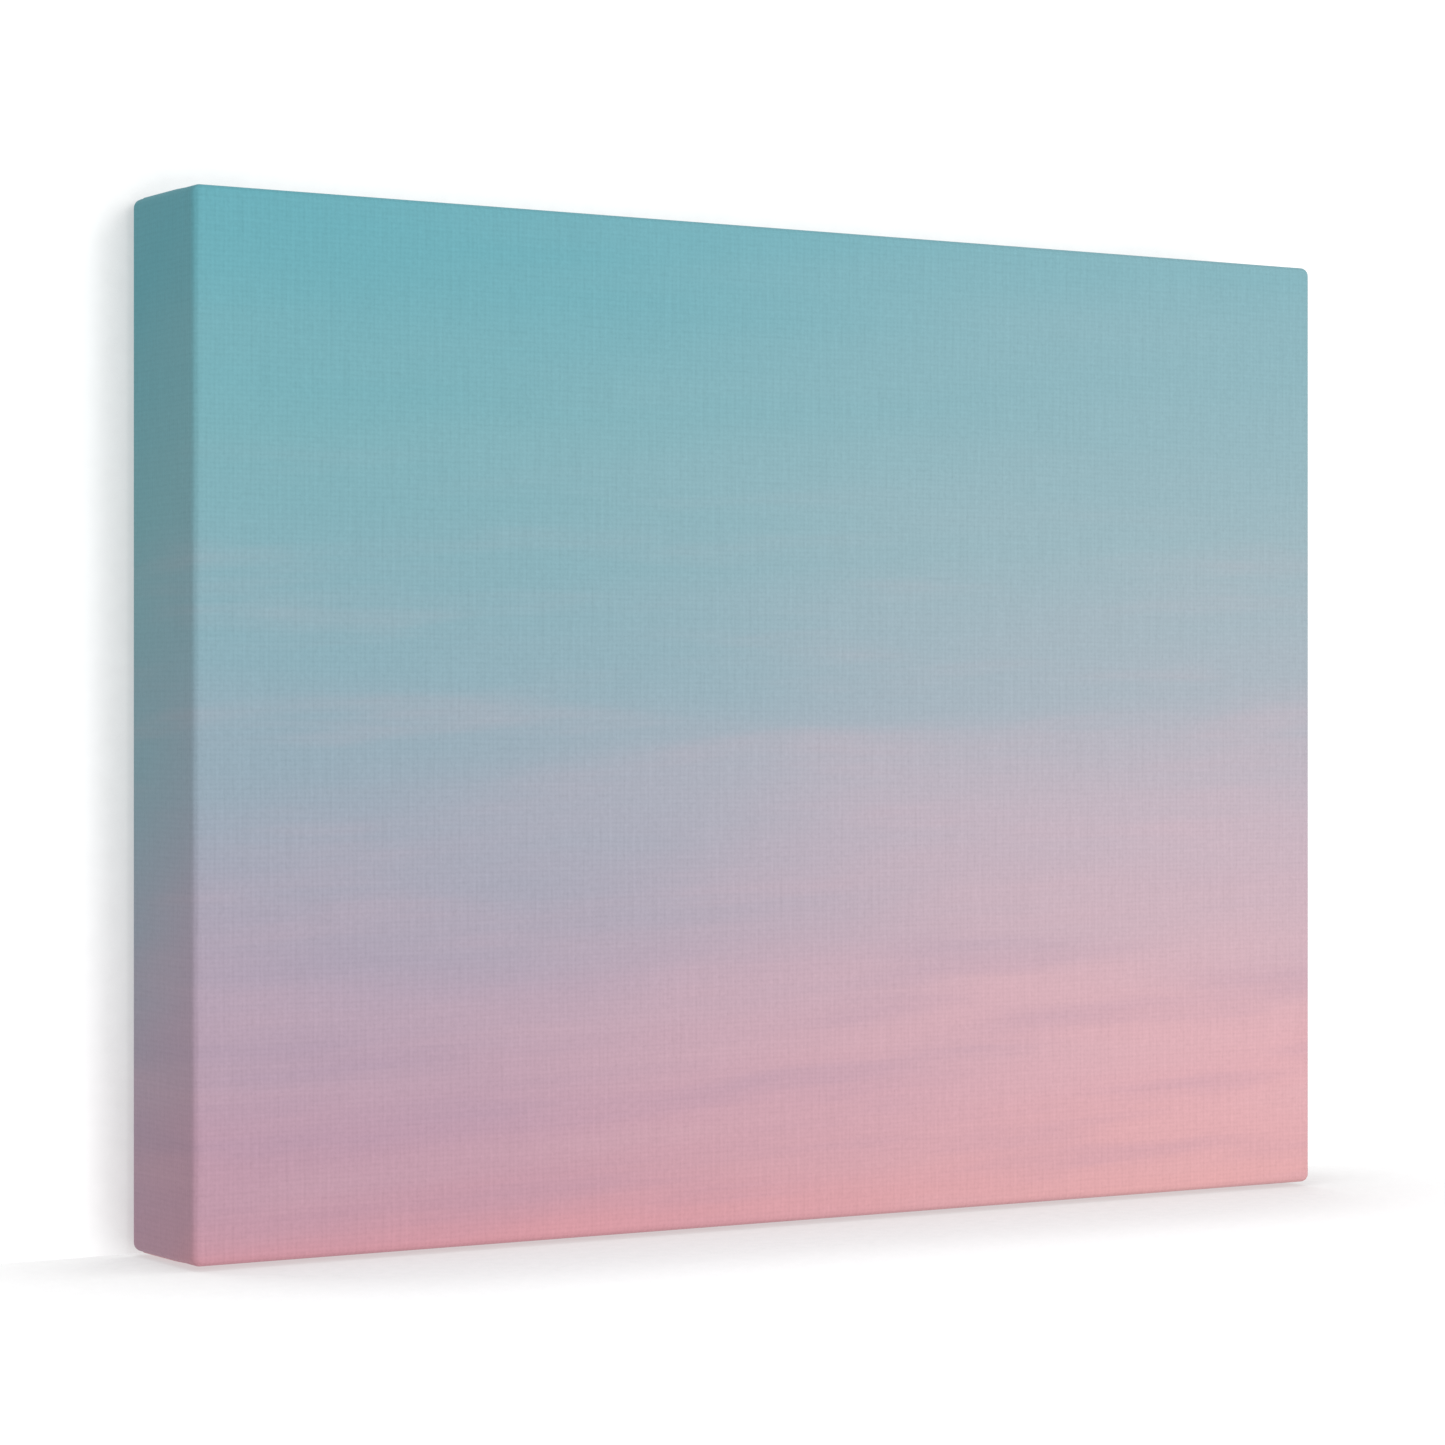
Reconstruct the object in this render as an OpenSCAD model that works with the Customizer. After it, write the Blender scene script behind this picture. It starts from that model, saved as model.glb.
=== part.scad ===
// Stretched canvas: a printed cloth wrapped over four keyed stretcher bars.
// Millimetres. X runs along the width, Y from the front to the back, Z up.
// The origin is under the middle of the bottom edge, half way through the whole depth.

/* [Frame] */
// Width over the stretcher bars
frame_w = 304.8; // [200:0.1:600]
// Height over the stretcher bars
frame_h = 228.6; // [200:0.1:600]
// Depth of the stretcher bars, from front to back
bar_depth = 31.75; // [28:0.25:45]
// Width of a stretcher bar, from its outer to its inner edge
bar_w = 35; // [30:1:50]
// Width of the raised bead that carries the cloth along the outer edge
bead_w = 6; // [4:0.5:10]
// How far the bead's inner side drops below its top
bead_drop = 1.2; // [0.8:0.1:2]
// How far the front of a bar has fallen away at its inner edge
bevel_drop = 4; // [2.5:0.25:6]
// Radius of a bar's outer edges
bar_edge_r = 2; // [1.5:0.25:3]
// Radius that eases a bar's inner edges
bar_inner_r = 1; // [0.5:0.25:2]

/* [Corner joints] */
// Thickness of the front and back cheeks of a corner joint
cheek_t = 8; // [7:0.25:9]
// Thickness of each slot that takes a tongue and a key
slot_t = 5; // [4:0.25:6]
// Room between a tongue and its slot, on each side
tongue_gap = 0.1; // [0.05:0.05:0.3]
// Gap along the mitre between two bars
mitre_gap = 0.1; // [0.05:0.05:0.5]

/* [Wedge keys] */
// Length of a key along its straight edge
key_len = 30; // [24:1:36]
// Width of a key's thin end
key_tip_w = 5; // [4:0.5:7]
// Width of a key's thick end
key_butt_w = 13; // [10:0.5:16]
// Thickness of a key
key_t = 4.4; // [3:0.1:4.6]
// How far a key's thin end stays from the outer edge of its bar
key_tip_inset = 14; // [10:1:18]
// Room between a key and the wood on each side of it
key_gap = 0.1; // [0.05:0.05:0.2]
// Size of the bevel on a key's thick end
key_bevel = 0.8; // [0.4:0.1:1.5]

/* [Cloth] */
// Thickness of the canvas
cloth_t = 0.5; // [0.4:0.05:0.8]
// Radius of the cloth's outer edges
cloth_edge_r = 2; // [1.5:0.25:3]
// Width of the cloth's margin on the back
margin_w = 22; // [18:1:26]
// Layers of cloth that each corner fold tucks under the outer one
tucked_layers = 2; // [1:1:2]
// Distance from a side's face to the folded edge beside it
fold_inset = 1; // [0.5:0.25:2]

/* [Staples] */
// Width of a staple's crown
crown_w = 10.6; // [8:0.2:13]
// Length of a staple's legs below its crown
leg_len = 8; // [6:0.5:10]
// Width of the wire, along the bar's width
wire_w = 1.25; // [0.9:0.05:1.5]
// Thickness of the wire
wire_t = 0.6; // [0.4:0.05:0.8]
// Distance between staples, which is rounded to fit the bar
staple_pitch = 42; // [30:1:60]
// Distance from a bar's outer edge to the staples
staple_inset = 12; // [8:1:15]
// Distance from the frame's corner to the first staple past the fold, on the top and bottom bars
first_staple_long = 54; // [52:1:60]
// Distance from the frame's corner to the first staple on the side bars
first_staple_side = 48; // [44:1:60]
// Angle of the staple beside each fold's slanted edge
corner_staple_turn = 45; // [30:5:60]
// Distance from the frame's corner to the staple beside the slanted edge
corner_staple_along = 17; // [16:1:20]
// Distance from a bar's outer edge to the staple beside the slanted edge
corner_staple_inset = 8; // [7:1:9]
// Distance from the frame's corner to the staple in the middle of the fold
fold_staple_along = 33; // [32:1:36]

/* [Hanging hardware] */
// Length of the sawtooth hanger
hanger_len = 45; // [38:1:60]
// Height of the sawtooth hanger at its middle
hanger_h = 10.5; // [9:0.5:11]
// Height of the hanger's end tabs
tab_h = 7; // [5:0.5:8]
// Thickness of the hanger's plate
plate_t = 0.8; // [0.6:0.1:1.2]
// How far the middle of the hanger stands off the wood
bridge_rise = 2; // [1.5:0.1:2.1]
// Number of teeth
tooth_count = 9; // [5:2:11]
// Distance between teeth
tooth_pitch = 2.4; // [1.5:0.1:2.6]
// Height of a tooth
tooth_h = 1.5; // [1:0.1:2]
// Diameter of a hanger nail's head
nail_head_d = 3.4; // [2.5:0.1:4.5]
// Height of a hanger nail's head
nail_head_h = 0.7; // [0.5:0.1:1]
// Diameter of a hanger nail's shank
nail_d = 1.4; // [1:0.1:1.8]
// Length of a hanger nail below its head
nail_len = 12; // [8:1:18]
// Diameter of a wall bumper
bumper_d = 10; // [8:0.5:12]
// Thickness of a wall bumper
bumper_h = 2.5; // [2.4:0.1:4]
// Radius round a wall bumper's face
bumper_r = 1; // [0.5:0.25:2]
// Distance from the frame's bottom edge to the middle of a wall bumper
bumper_up = 29; // [28:1:31]

/* [Hidden] */
$fn = 64;

// Cutting tools reach this far past the solid that they cut
over = 1;

fold_rise = tucked_layers * cloth_t;
total_depth = cloth_t + bar_depth + cloth_t + bumper_h;
bar_front_y = -total_depth / 2 + cloth_t;
bar_back_y = bar_front_y + bar_depth;
margin_back_y = bar_back_y + cloth_t;
frame_bottom_z = fold_rise + cloth_t;
frame_mid_z = frame_bottom_z + frame_h / 2;

// The sides are counted clockwise, seen from the front, starting with the top.
TOP = 0;
RIGHT = 1;
BOTTOM = 2;
LEFT = 3;

// A bar's two ends, seen from the front with the bar's outer edge up.
// At end A the tongue is in the front slot layer, and at end B in the back one.
END_A = -1;
END_B = 1;

front_layer_y = cheek_t;
back_layer_y = bar_depth - cheek_t - slot_t;
key_taper = (key_butt_w - key_tip_w) / key_len;

cloth = [0.60, 0.68, 0.74];
pine = [0.86, 0.74, 0.55];
beech = [0.78, 0.60, 0.42];
zinc = [0.72, 0.73, 0.74];
brassy_zinc = [0.80, 0.72, 0.50];
rubber = [0.12, 0.12, 0.12];

function bar_length(side) = side % 2 == 0 ? frame_w : frame_h;
function side_distance(side) = (side % 2 == 0 ? frame_h : frame_w) / 2;
function first_staple(side) = side % 2 == 0 ? first_staple_long : first_staple_side;
function key_width_at(v) = key_tip_w + (v - key_tip_inset) * key_taper;
function slot_width_at(v) = key_width_at(v) + 2 * key_gap;
function tongue_layer_y(end) = end == END_A ? front_layer_y : back_layer_y;
function slot_layer_y(end) = end == END_A ? back_layer_y : front_layer_y;

// ---- Frames of reference ----

// Moves a bar's own frame to one side of the stretcher frame. In the bar's frame X runs along it
// from end A to end B, Y is 0 on its front, and Z is 0 on its outer edge and falls inwards.
module on_side(side) {
    translate([0, bar_front_y, frame_mid_z])
        rotate([0, 90 * side, 0])
            translate([0, 0, side_distance(side)])
                children();
}

// Extrudes an outline drawn in X and Z through the depth from y0 to y1.
module through_depth(y0, y1) {
    translate([0, y1, 0])
        rotate([90, 0, 0])
            linear_extrude(y1 - y0)
                children();
}

// Extrudes an outline drawn in corner measures, u along the bar from its end and v in from its
// outer edge, through the depth from y0 to y1.
module at_bar_end(side, end, y0, y1) {
    translate([end * bar_length(side) / 2, 0, 0])
        mirror([end == END_B ? 1 : 0, 0, 0])
            through_depth(y0, y1)
                mirror([0, 1])
                    children();
}

// ---- Outlines ----

module rounded_rectangle(w, h, r) {
    square([w - 2 * r, h], center = true);
    square([w, h - 2 * r], center = true);
    for (x = [-1, 1], y = [-1, 1])
        translate([x * (w / 2 - r), y * (h / 2 - r)])
            circle(r);
}

// What rounding takes off a square corner at the origin whose solid lies towards +X and +Y.
module corner_waste(r) {
    difference() {
        translate([-over, -over])
            square(r + over);
        translate([r, r])
            circle(r);
    }
}

// ---- Stretcher bars ----

// Cross-section: X is the depth from the front, Y is 0 on the outer edge and falls inwards.
module bar_section() {
    difference() {
        polygon([
            [0, 0],
            [bar_depth, 0],
            [bar_depth, -bar_w],
            [bevel_drop, -bar_w],
            [bead_drop, -bead_w - bead_drop],
            [0, -bead_w]
        ]);
        mirror([0, 1])
            corner_waste(bar_edge_r);
        translate([bar_depth, 0])
            rotate(180)
                corner_waste(bar_edge_r);
        translate([bar_depth, -bar_w])
            mirror([1, 0])
                corner_waste(bar_inner_r);
    }
}

module bar_blank(side) {
    bar_len = bar_length(side);
    intersection() {
        translate([-bar_len / 2, 0, 0])
            rotate([90, 0, 90])
                linear_extrude(bar_len)
                    bar_section();
        // The frame's corners are rounded, seen from the front.
        through_depth(-over, bar_depth + over)
            translate([0, -bar_w])
                rounded_rectangle(bar_len, 2 * bar_w, bar_edge_r);
    }
}

// The half of the corner square that belongs to the next bar.
module mitre_waste() {
    reach = bar_w + over;
    polygon([
        [-over, -over - mitre_gap],
        [reach, reach - mitre_gap],
        [reach, reach + over],
        [-over, reach + over]
    ]);
}

// The corner square, which the next bar's tongue fills, and the tapered room for the key.
module slot_waste() {
    polygon([
        [-over, -over],
        [bar_w + slot_width_at(-over), -over],
        [bar_w + slot_width_at(bar_w + over), bar_w + over],
        [-over, bar_w + over]
    ]);
}

module cut_bar_end(side, end) {
    tongue_y = tongue_layer_y(end);
    slot_y = slot_layer_y(end);
    at_bar_end(side, end, -over, tongue_y + tongue_gap)
        mitre_waste();
    at_bar_end(side, end, tongue_y + slot_t - tongue_gap, bar_depth + over)
        mitre_waste();
    at_bar_end(side, end, slot_y, slot_y + slot_t)
        slot_waste();
}

module stretcher_bar(side) {
    color(pine)
        on_side(side)
            difference() {
                bar_blank(side);
                cut_bar_end(side, END_A);
                cut_bar_end(side, END_B);
            }
}

// ---- Wedge keys ----

// A key lies along the next bar's inner edge, straight side against that bar's tongue.
module key_outline() {
    key_end = key_tip_inset + key_len;
    near = bar_w + key_gap;
    polygon([
        [near, key_tip_inset],
        [near + key_width_at(key_tip_inset), key_tip_inset],
        [near + key_width_at(key_end - key_bevel), key_end - key_bevel],
        [near + key_width_at(key_end) - key_bevel, key_end],
        [near, key_end]
    ]);
}

module wedge_key(side, end) {
    key_y = slot_layer_y(end) + (slot_t - key_t) / 2;
    color(beech)
        on_side(side)
            at_bar_end(side, end, key_y, key_y + key_t)
                key_outline();
}

// ---- Cloth ----

// A block with every edge rounded, centred on the origin.
module rounded_block(w, d, h, r) {
    intersection() {
        rotate([90, 0, 0])
            linear_extrude(d + over, center = true)
                rounded_rectangle(w, h, r);
        linear_extrude(h + over, center = true)
            rounded_rectangle(w, d, r);
        rotate([0, 90, 0])
            linear_extrude(w + over, center = true)
                rounded_rectangle(h, d, r);
    }
}

// The frame as one block, its faces standing proud of the bars by grow.
module wrapped_block(grow, r) {
    translate([0, bar_front_y + bar_depth / 2, frame_mid_z])
        rounded_block(frame_w + 2 * grow, bar_depth + 2 * grow, frame_h + 2 * grow, r);
}

// The wrapped block, grown upwards, downwards and backwards by the tucked layers.
module folded_block() {
    proud = cloth_t + fold_rise;
    translate([0, bar_front_y + (bar_depth + fold_rise) / 2, frame_mid_z])
        rounded_block(
            frame_w + 2 * (cloth_t - fold_inset),
            bar_depth + 2 * cloth_t + fold_rise,
            frame_h + 2 * proud,
            cloth_edge_r + fold_rise
        );
}

// Where a corner's spare cloth lies on the edge of the frame: a triangle that widens backwards.
module fold_on_edge(side, end) {
    on_side(side)
        translate([end * (frame_w / 2 + cloth_t), 0, 0])
            mirror([end == END_B ? 1 : 0, 0, 0])
                linear_extrude(cloth_t + fold_rise + over)
                    polygon([
                        [0, -cloth_t],
                        [bar_depth + 2 * cloth_t, bar_depth + cloth_t],
                        [bar_depth + 2 * cloth_t, bar_depth + 2 * over],
                        [0, bar_depth + 2 * over]
                    ]);
}

// Where it lies on the back: from the slanted edge at the mitre to where the spare cloth ends.
module fold_on_back(side, end) {
    rim = cloth_t + fold_rise;
    spare = bar_depth + 2 * cloth_t;
    on_side(side)
        at_bar_end(side, end, bar_depth - over, bar_depth + cloth_t + fold_rise + over)
            polygon([
                [-rim, -rim],
                [margin_w, margin_w],
                [margin_w + spare, margin_w],
                [spare - rim, -rim]
            ]);
}

module corner_folds() {
    intersection() {
        folded_block();
        for (side = [TOP, BOTTOM], end = [END_A, END_B]) {
            fold_on_edge(side, end);
            fold_on_back(side, end);
        }
    }
}

// One piece of cloth. The folds are on the top and bottom, so the two sides are smooth.
module canvas_sheet() {
    color(cloth)
        difference() {
            union() {
                wrapped_block(cloth_t, cloth_edge_r);
                corner_folds();
            }
            wrapped_block(0, cloth_edge_r - cloth_t);
            // The open back, inside the margin
            through_depth(bar_back_y - over, margin_back_y + fold_rise + over)
                translate([0, frame_mid_z])
                    square([frame_w - 2 * margin_w, frame_h - 2 * margin_w], center = true);
        }
}

// ---- Staples ----

// One staple with its crown along X on the back of the cloth and its legs in the wood.
module staple() {
    translate([-crown_w / 2, 0, -wire_w / 2])
        cube([crown_w, wire_t, wire_w]);
    for (leg_x = [-crown_w / 2, crown_w / 2 - wire_t])
        translate([leg_x, -leg_len, -wire_w / 2])
            cube([wire_t, leg_len + wire_t, wire_w]);
}

module straight_staples(side) {
    run = bar_length(side) - 2 * first_staple(side);
    gaps = round(run / staple_pitch);
    for (i = [0:gaps])
        translate([run * (i / gaps - 0.5), bar_depth + cloth_t, -staple_inset])
            staple();
}

// Two staples hold each fold: one beside its slanted edge and one in its middle.
module fold_staples(side) {
    half = bar_length(side) / 2;
    crown_y = bar_depth + cloth_t + fold_rise;
    for (end = [END_A, END_B]) {
        translate([end * (half - corner_staple_along), crown_y, -corner_staple_inset])
            rotate([0, end * corner_staple_turn, 0])
                staple();
        translate([end * (half - fold_staple_along), crown_y, -staple_inset])
            staple();
    }
}

module staple_row(side) {
    color(zinc)
        on_side(side) {
            straight_staples(side);
            // The cloth is folded over the ends of the top and bottom bars only.
            if (side % 2 == 0)
                fold_staples(side);
        }
}

// ---- Hanging hardware ----

hanger_middle_v = (margin_w + bar_w) / 2;
nail_x = hanger_len / 2 - 4;
bridge_half = tooth_count * tooth_pitch / 2 + 0.6;
ramp = 3;

module hanger_strip() {
    half = hanger_len / 2;
    foot = bridge_half + ramp;
    // The inner side of each bend sits a little further out than its outer side.
    bend = plate_t * tan(atan2(bridge_rise, ramp) / 2);
    polygon([
        [-half, 0], [-foot - bend, 0], [-bridge_half - bend, bridge_rise],
        [bridge_half + bend, bridge_rise], [foot + bend, 0], [half, 0],
        [half, plate_t], [foot, plate_t], [bridge_half, bridge_rise + plate_t],
        [-bridge_half, bridge_rise + plate_t], [-foot, plate_t], [-half, plate_t]
    ]);
}

module hanger_outline() {
    half = hanger_len / 2;
    foot = bridge_half + ramp;
    teeth = [
        for (i = [0:tooth_count])
            for (tip = [0, 1])
                if (i < tooth_count || tip == 0)
                    [
                        (i + tip / 2 - tooth_count / 2) * tooth_pitch,
                        -hanger_h / 2 + tip * tooth_h
                    ]
    ];
    polygon(concat(
        [[-half, hanger_h / 2], [-half, hanger_h / 2 - tab_h], [-foot, hanger_h / 2 - tab_h]],
        [[-bridge_half, -hanger_h / 2]],
        teeth,
        [[bridge_half, -hanger_h / 2]],
        [[foot, hanger_h / 2 - tab_h], [half, hanger_h / 2 - tab_h], [half, hanger_h / 2]]
    ));
}

module at_hanger() {
    on_side(TOP)
        translate([0, bar_depth, -hanger_middle_v])
            children();
}

module at_hanger_nails() {
    at_hanger()
        for (side = [-1, 1])
            translate([side * nail_x, 0, (hanger_h - tab_h) / 2])
                rotate([-90, 0, 0])
                    children();
}

module sawtooth_hanger() {
    color(brassy_zinc)
        difference() {
            at_hanger()
                intersection() {
                    translate([0, 0, -hanger_h])
                        linear_extrude(2 * hanger_h)
                            hanger_strip();
                    through_depth(-over, bridge_rise + plate_t + over)
                        hanger_outline();
                }
            at_hanger_nails()
                translate([0, 0, -over])
                    cylinder(d = nail_d + 0.2, h = plate_t + 2 * over);
        }
}

module hanger_nails() {
    color(zinc)
        at_hanger_nails() {
            translate([0, 0, plate_t])
                cylinder(d = nail_head_d, h = nail_head_h);
            translate([0, 0, plate_t - nail_len + nail_d])
                cylinder(d = nail_d, h = nail_len - nail_d);
            // The point
            translate([0, 0, plate_t - nail_len])
                cylinder(d1 = 0.2, d2 = nail_d, h = nail_d, $fn = 32);
        }
}

module wall_bumper(side) {
    x = side * (frame_w / 2 - margin_w / 2);
    color(rubber)
        translate([x, margin_back_y, frame_bottom_z + bumper_up])
            rotate([-90, 0, 0])
                rotate_extrude() {
                    square([bumper_d / 2 - bumper_r, bumper_h]);
                    square([bumper_d / 2, bumper_h - bumper_r]);
                    intersection() {
                        translate([bumper_d / 2 - bumper_r, bumper_h - bumper_r])
                            circle(bumper_r);
                        square(bumper_d);
                    }
                }
}

// ---- Nodes ----

canvas_sheet();
stretcher_bar(TOP);  // stretcher_bar_top
stretcher_bar(RIGHT);  // stretcher_bar_right
stretcher_bar(BOTTOM);  // stretcher_bar_bottom
stretcher_bar(LEFT);  // stretcher_bar_left
wedge_key(TOP, END_A);  // key_top_left_upright
wedge_key(TOP, END_B);  // key_top_right_upright
wedge_key(RIGHT, END_A);  // key_top_right_across
wedge_key(RIGHT, END_B);  // key_bottom_right_across
wedge_key(BOTTOM, END_A);  // key_bottom_right_upright
wedge_key(BOTTOM, END_B);  // key_bottom_left_upright
wedge_key(LEFT, END_A);  // key_bottom_left_across
wedge_key(LEFT, END_B);  // key_top_left_across
staple_row(TOP);  // staples_top
staple_row(RIGHT);  // staples_right
staple_row(BOTTOM);  // staples_bottom
staple_row(LEFT);  // staples_left
sawtooth_hanger();
hanger_nails();
wall_bumper(-1);  // wall_bumper_left
wall_bumper(1);  // wall_bumper_right
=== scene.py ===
"""Looks for a stretched canvas: printed cloth folded over four keyed stretcher bars.

Every length is in metres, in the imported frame: X along the width, Y from front to back, Z up.
"""

import math

import bmesh
import bpy
import numpy as np
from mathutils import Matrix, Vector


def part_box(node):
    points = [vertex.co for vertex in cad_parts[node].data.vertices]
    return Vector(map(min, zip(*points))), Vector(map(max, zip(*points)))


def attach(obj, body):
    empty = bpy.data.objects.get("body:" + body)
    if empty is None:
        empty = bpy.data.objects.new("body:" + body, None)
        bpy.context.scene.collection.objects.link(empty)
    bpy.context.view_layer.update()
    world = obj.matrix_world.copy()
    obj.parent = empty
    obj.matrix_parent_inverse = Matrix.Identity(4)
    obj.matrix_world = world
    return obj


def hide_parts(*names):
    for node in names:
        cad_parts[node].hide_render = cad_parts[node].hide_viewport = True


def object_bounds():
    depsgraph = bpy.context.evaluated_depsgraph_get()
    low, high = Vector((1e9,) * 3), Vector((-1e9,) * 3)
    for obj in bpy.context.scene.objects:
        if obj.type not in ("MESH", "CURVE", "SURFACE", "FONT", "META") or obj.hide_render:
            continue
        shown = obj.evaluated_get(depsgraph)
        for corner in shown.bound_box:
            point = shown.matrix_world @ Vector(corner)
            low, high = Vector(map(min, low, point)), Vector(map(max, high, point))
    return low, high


MM = 0.001

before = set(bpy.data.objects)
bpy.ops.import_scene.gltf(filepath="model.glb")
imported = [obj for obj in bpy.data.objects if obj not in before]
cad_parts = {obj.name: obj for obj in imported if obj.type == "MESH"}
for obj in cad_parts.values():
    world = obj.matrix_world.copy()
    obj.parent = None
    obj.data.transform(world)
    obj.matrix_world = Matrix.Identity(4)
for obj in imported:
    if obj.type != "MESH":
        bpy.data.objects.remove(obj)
cad_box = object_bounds()

ROOT_BODY = "stretched_frame"
SIDES = ("top", "right", "bottom", "left")
STAPLES = [f"staples_{side}" for side in SIDES]
KEYS = sorted(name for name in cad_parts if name.startswith("key_"))
BUMPERS = ["wall_bumper_left", "wall_bumper_right"]

# ---- Sizes of the cloth, from the bars and the sheet of the frame ----

BAR_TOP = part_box("stretcher_bar_top")[1].z
BAR_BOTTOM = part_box("stretcher_bar_bottom")[0].z
BAR_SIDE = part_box("stretcher_bar_right")[1].x
BAR_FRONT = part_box("stretcher_bar_left")[0].y
BAR_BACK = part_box("stretcher_bar_left")[1].y
CLOTH_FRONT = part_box("canvas_sheet")[0].y
CLOTH_T = BAR_FRONT - CLOTH_FRONT
FOLD_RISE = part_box("canvas_sheet")[1].z - BAR_TOP - CLOTH_T

# The outer faces of the cloth where it lies in one layer
HALF_W = BAR_SIDE + CLOTH_T
HALF_H = (BAR_TOP - BAR_BOTTOM) / 2 + CLOTH_T
MID_Z = (BAR_TOP + BAR_BOTTOM) / 2
DEPTH = BAR_BACK - BAR_FRONT + 2 * CLOTH_T

EDGE_R = 1.7 * MM  # rounding from the front or back onto a side
CORNER_R = 2.0 * MM  # rounding from one side to the next
MARGIN_W = 22.0 * MM + CLOTH_T  # how far the cloth reaches over the back

# Corner folds, on the top and bottom sides. Pairs are for the side itself and for the back, where
# the first staple past the fold pins the cloth down.
FOLD_EDGE_W = 0.9 * MM  # how wide the rounding of a folded edge is
FOLD_EDGE_SHARES = (0.45, 0.55)  # how much of the rise is at that edge
FOLD_SWELL = 12.0 * MM  # how far in from that edge the rise is whole
FOLD_RAMPS = (5.0 * MM, 3.0 * MM)  # how far the outer layer hangs clear beside the tucked layers
FOLD_START = 14.0 * MM  # how far behind the front edge the layers are whole

# The margin between its staples
MARGIN_LIFT = 0.6 * MM  # how far the cut edge stands off the wood
STAPLE_PUFF = 0.12 * MM  # how far the cloth swells round a staple
LIFT_CLEAR = (5.0 * MM, 14.0 * MM)  # how far from a staple the lift starts, and over how far it grows
LIFT_START = 0.35  # the share of the way to the cut edge where the lift starts
PUFF_CLEAR = (1.0 * MM, 5.0 * MM)  # the same for the swelling
PUFF_WHOLE = 0.3  # the share of the way to the cut edge where the swelling is whole
CUT_WANDER = 0.6 * MM  # how far the cut edge strays from a straight line
CUT_WAVES = ((0.5, 7, 1), (0.3, 19, 2), (0.2, 53, 0))  # (share, waves round the frame, phase)

THREAD_PITCH = 1.05 * MM

# Points nearer than this are one point
CAD_WELD = 0.01 * MM
SKIN_WELD = 0.004 * MM

# ---- Small helpers ----


def smooth(t):
    """0 below 0, 1 above 1, and an S-curve in between."""
    t = np.clip(t, 0.0, 1.0)
    return t * t * (3.0 - 2.0 * t)


def spaced(start, stop, step):
    """Even steps from start to stop, both included, about one step apart."""
    return np.linspace(start, stop, max(2, int(round(abs(stop - start) / step)) + 1))


def add_mesh(name, points, faces):
    """A new smooth-shaded object from points and faces."""
    mesh = bpy.data.meshes.new(name)
    mesh.from_pydata(np.asarray(points).tolist(), [], faces)
    mesh.shade_smooth()
    made = bpy.data.objects.new(name, mesh)
    bpy.context.scene.collection.objects.link(made)
    return made


def store_attribute(made, name, values):
    """Keeps one number or vector for each point of a mesh, for its material to read."""
    values = np.asarray(values, np.float32)
    is_vector = values.ndim == 2
    kind = "FLOAT_VECTOR" if is_vector else "FLOAT"
    attribute = made.data.attributes.new(name, kind, "POINT")
    attribute.data.foreach_set("vector" if is_vector else "value", values.ravel())


def loose_part_centres(node):
    """The middle of each separate solid in a CAD node."""
    shape = bmesh.new()
    shape.from_mesh(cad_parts[node].data)
    bmesh.ops.remove_doubles(shape, verts=shape.verts, dist=CAD_WELD)
    left = set(shape.verts)
    centres = []
    for start in shape.verts:
        if start not in left:
            continue
        left.remove(start)
        part = [start]
        for vert in part:
            for edge in vert.link_edges:
                other = edge.other_vert(vert)
                if other in left:
                    left.remove(other)
                    part.append(other)
        corners = np.array([v.co for v in part])
        centres.append((corners.min(0) + corners.max(0)) / 2)
    shape.free()
    return np.array(centres)


# ---- The cloth's shape ----

# The cloth is a closed skin of two layers of rings. A ring's columns run round the frame, clockwise
# from the top left as seen from the front, and the rings follow one another from the front edge,
# along the depth and over the back. The flat front fills the first ring.

CORNER_STEPS = 6  # round each corner, from one side to the next
FRONT_STEP = 0.6 * MM  # between the rings on the front
# Steps along a side from each of its corners, as (start, end, step)
FOLD_ZONES = [(0.0, 4 * MM, 0.35 * MM), (4 * MM, 54 * MM, 1.2 * MM)]
PLAIN_ZONES = [(0.0, 24 * MM, 2 * MM)]
# Steps along the middle of a level side and of an upright side
LEVEL_MIDDLE_STEP = 6 * MM
UPRIGHT_MIDDLE_STEP = 4 * MM
# Each skin's steps along the depth and over the back, and how many there are round each rounding
OUTER_STEPS = (1.1 * MM, 1.1 * MM, 6)
INNER_STEPS = (6 * MM, 3 * MM, 3)


def side_places(half, zones, middle_step):
    """Places along one side, from -1 to 1. zones are (start, end, step) from each corner."""
    from_corner = np.concatenate([spaced(start, end, step)[:-1] for start, end, step in zones])
    reach = zones[-1][1]
    middle = spaced(-(half - reach), half - reach, middle_step)
    ends = half - from_corner
    return np.concatenate([-ends, middle, ends[::-1]]) / half


def ring_columns(places):
    """The columns of a ring: their side, place along it, and turn round the corner after it."""
    columns = []
    for side in range(4):
        columns += [(side, place, 0.0) for place in places[side % 2]]
        columns += [(side, 1.0, step / CORNER_STEPS) for step in range(1, CORNER_STEPS)]
    side, place, turn = np.array(columns).T
    return side.astype(int), place, turn * math.pi / 2


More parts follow.
